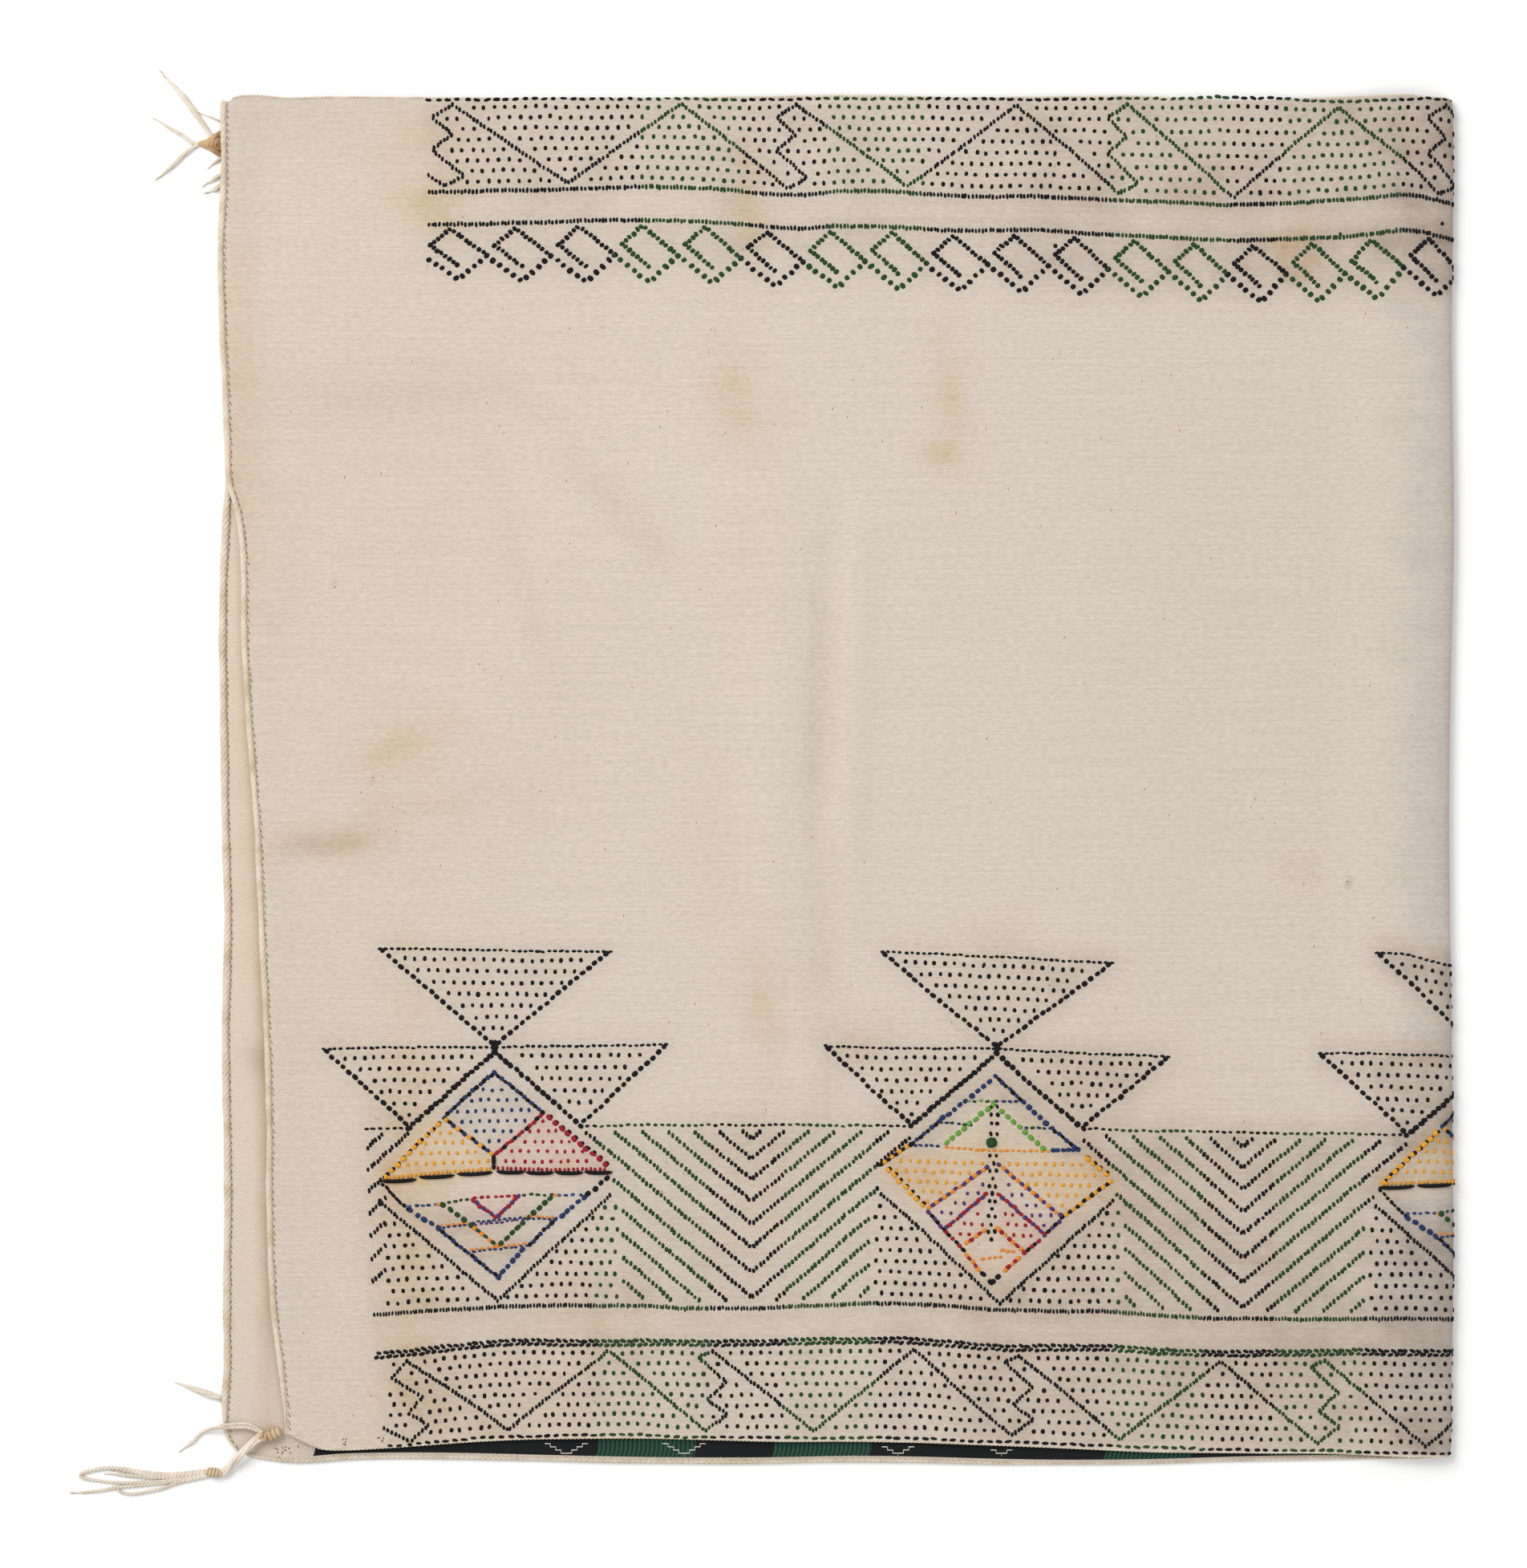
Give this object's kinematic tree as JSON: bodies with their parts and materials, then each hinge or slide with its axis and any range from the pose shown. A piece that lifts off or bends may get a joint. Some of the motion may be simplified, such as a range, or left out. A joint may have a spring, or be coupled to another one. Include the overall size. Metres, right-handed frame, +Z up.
{
  "type": "brocaded manta, folded",
  "caption": "Handwoven cream cotton manta with brocaded borders, folded once and lying flat, with corded edges and corner tassels.",
  "frame": {"origin": "on the underside, in the middle of the folded cloth", "axes": "+Z up through the layers, +X towards the fold, +Y towards the top border"},
  "size_m": [1.0326, 1.0651, 0.0131],
  "materials": {
    "brocaded_cotton": "matt handwoven plain weave with raised yarn",
    "end_cord_cotton": "matt whipped cord",
    "edge_cord_cotton": "matt twined cord",
    "tassel_cotton": "matt plied and loose yarn"
  },
  "bodies": {
    "root": {"manta_cloth": "brocaded_cotton", "end_cord_upper": "end_cord_cotton", "end_cord_lower": "end_cord_cotton", "top_edge_cord": "edge_cord_cotton", "bottom_edge_cord": "edge_cord_cotton", "tassel_top": "tassel_cotton", "tassel_bottom": "tassel_cotton", "tassel_lower_end": "tassel_cotton"}
  },
  "joints": []
}
